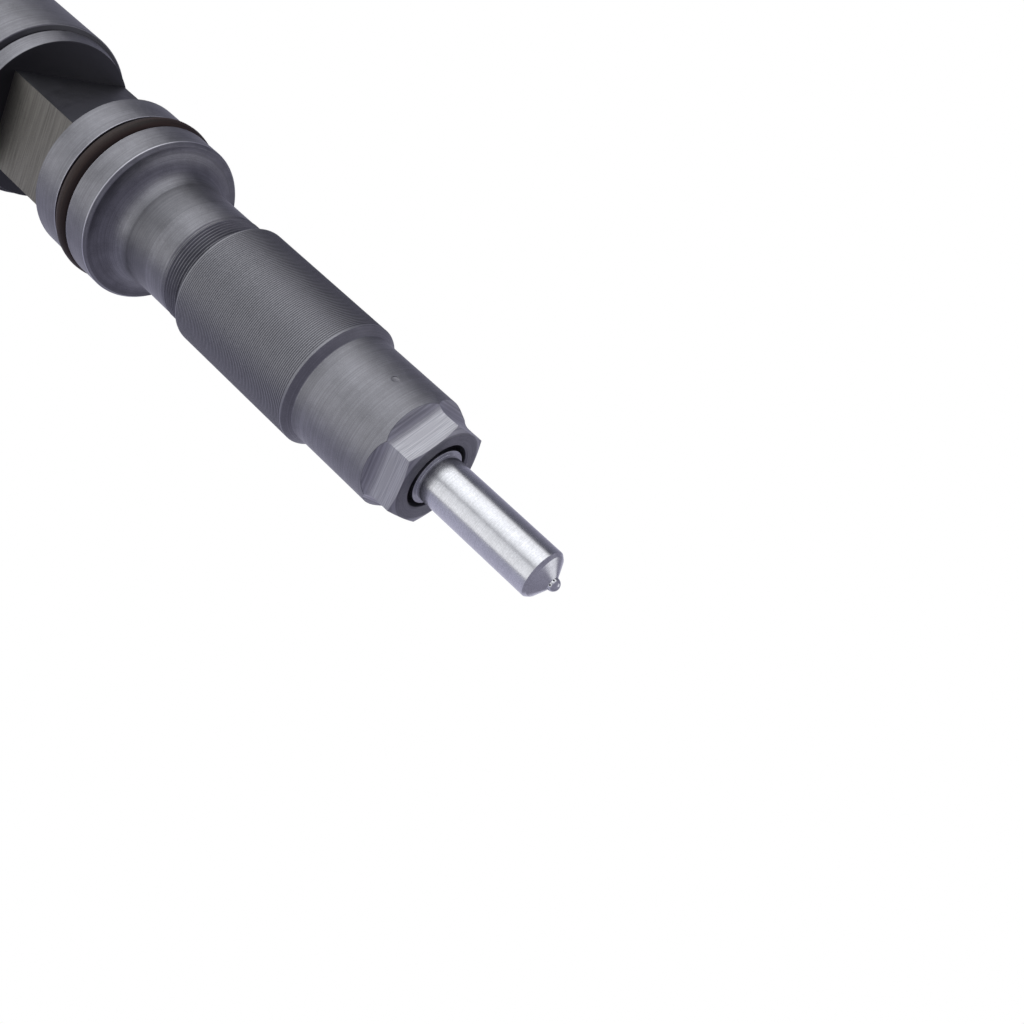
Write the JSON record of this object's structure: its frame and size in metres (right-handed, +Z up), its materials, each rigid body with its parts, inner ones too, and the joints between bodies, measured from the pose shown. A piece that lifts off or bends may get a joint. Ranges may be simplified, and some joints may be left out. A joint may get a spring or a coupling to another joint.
{
  "type": "fuel injector",
  "caption": "Common-rail diesel fuel injector: slim nozzle, nozzle nut with a hexagonal end, sealed collar, flat-sided clamp section, side inlet and solenoid head with stud terminals.",
  "frame": {"origin": "on the injector's axis in the plane of the nozzle nut's front face, where the injector sits in the cylinder head", "axes": "+Z up the axis from the nozzle tip to the electrical terminals; the clamp flats face +X, -X and -Y; the high-pressure inlet faces +Y; the two terminals lie along X"},
  "size_m": [0.0312, 0.0286, 0.175],
  "materials": {
    "ground_steel": "finely ground bright steel",
    "nut_steel": "turned steel, satin grey",
    "body_steel": "machined and heat-treated steel, dark satin grey",
    "hardened_steel": "hardened ground steel",
    "spring_steel": "shot-peened spring wire",
    "zinc_plate": "zinc-plated steel",
    "brass": "turned brass",
    "copper_wire": "enamelled copper winding",
    "magnet_iron": "pressed soft-iron powder, matt",
    "seal_rubber": "dark brown rubber",
    "seal_plastic": "tan engineering plastic",
    "black_plastic": "black glass-filled plastic",
    "insulator": "brown insulating plastic"
  },
  "bodies": {
    "housing": {"nozzle_body": "ground_steel", "nozzle_nut": "nut_steel", "nozzle_dowel_1": "hardened_steel", "nozzle_dowel_2": "hardened_steel", "needle_spring": "spring_steel", "needle_spring_shim": "hardened_steel", "injector_body": "body_steel", "body_o_ring": "seal_rubber", "valve_body": "hardened_steel", "valve_body_seal_ring": "seal_plastic", "valve_clamp_nut": "nut_steel", "armature_guide": "hardened_steel", "overtravel_spring": "spring_steel", "lift_shim": "hardened_steel", "magnet_core": "magnet_iron", "coil_bobbin": "black_plastic", "coil_winding": "copper_wire", "valve_spring": "spring_steel", "valve_spring_shim": "hardened_steel", "magnet_sleeve": "zinc_plate", "magnet_o_ring": "seal_rubber", "magnet_cover": "black_plastic", "cover_seal_ring": "seal_rubber", "solenoid_nut": "zinc_plate", "terminal_stud_1": "brass", "terminal_insulator_1": "insulator", "terminal_washer_1": "zinc_plate", "terminal_nut_1": "zinc_plate", "terminal_stud_2": "brass", "terminal_insulator_2": "insulator", "terminal_washer_2": "zinc_plate", "terminal_nut_2": "zinc_plate"},
    "needle_group": {"nozzle_needle": "hardened_steel", "needle_pressure_pin": "hardened_steel", "control_rod": "hardened_steel"},
    "valve_group": {"valve_ball": "hardened_steel", "ball_holder": "hardened_steel", "armature_bolt": "hardened_steel", "armature_clip": "spring_steel"},
    "armature": {"armature_plate": "magnet_iron"}
  },
  "joints": [
    {"name": "needle_lift", "type": "slide", "parent": "housing", "child": "needle_group", "axis": [0, 0, 1], "range_m": [0, 0.0003], "stiffness_N_per_m": 800, "springref_m": -0.001, "deforming": ["needle_spring"]},
    {"name": "valve_lift", "type": "slide", "parent": "housing", "child": "valve_group", "axis": [0, 0, 1], "range_m": [0, 0.00006], "stiffness_N_per_m": 400, "springref_m": -0.001, "deforming": ["valve_spring"]},
    {"name": "armature_overtravel", "type": "slide", "parent": "valve_group", "child": "armature", "axis": [0, 0, -1], "range_m": [0, 0.00004], "stiffness_N_per_m": 200, "springref_m": -0.001, "deforming": ["overtravel_spring"]}
  ]
}
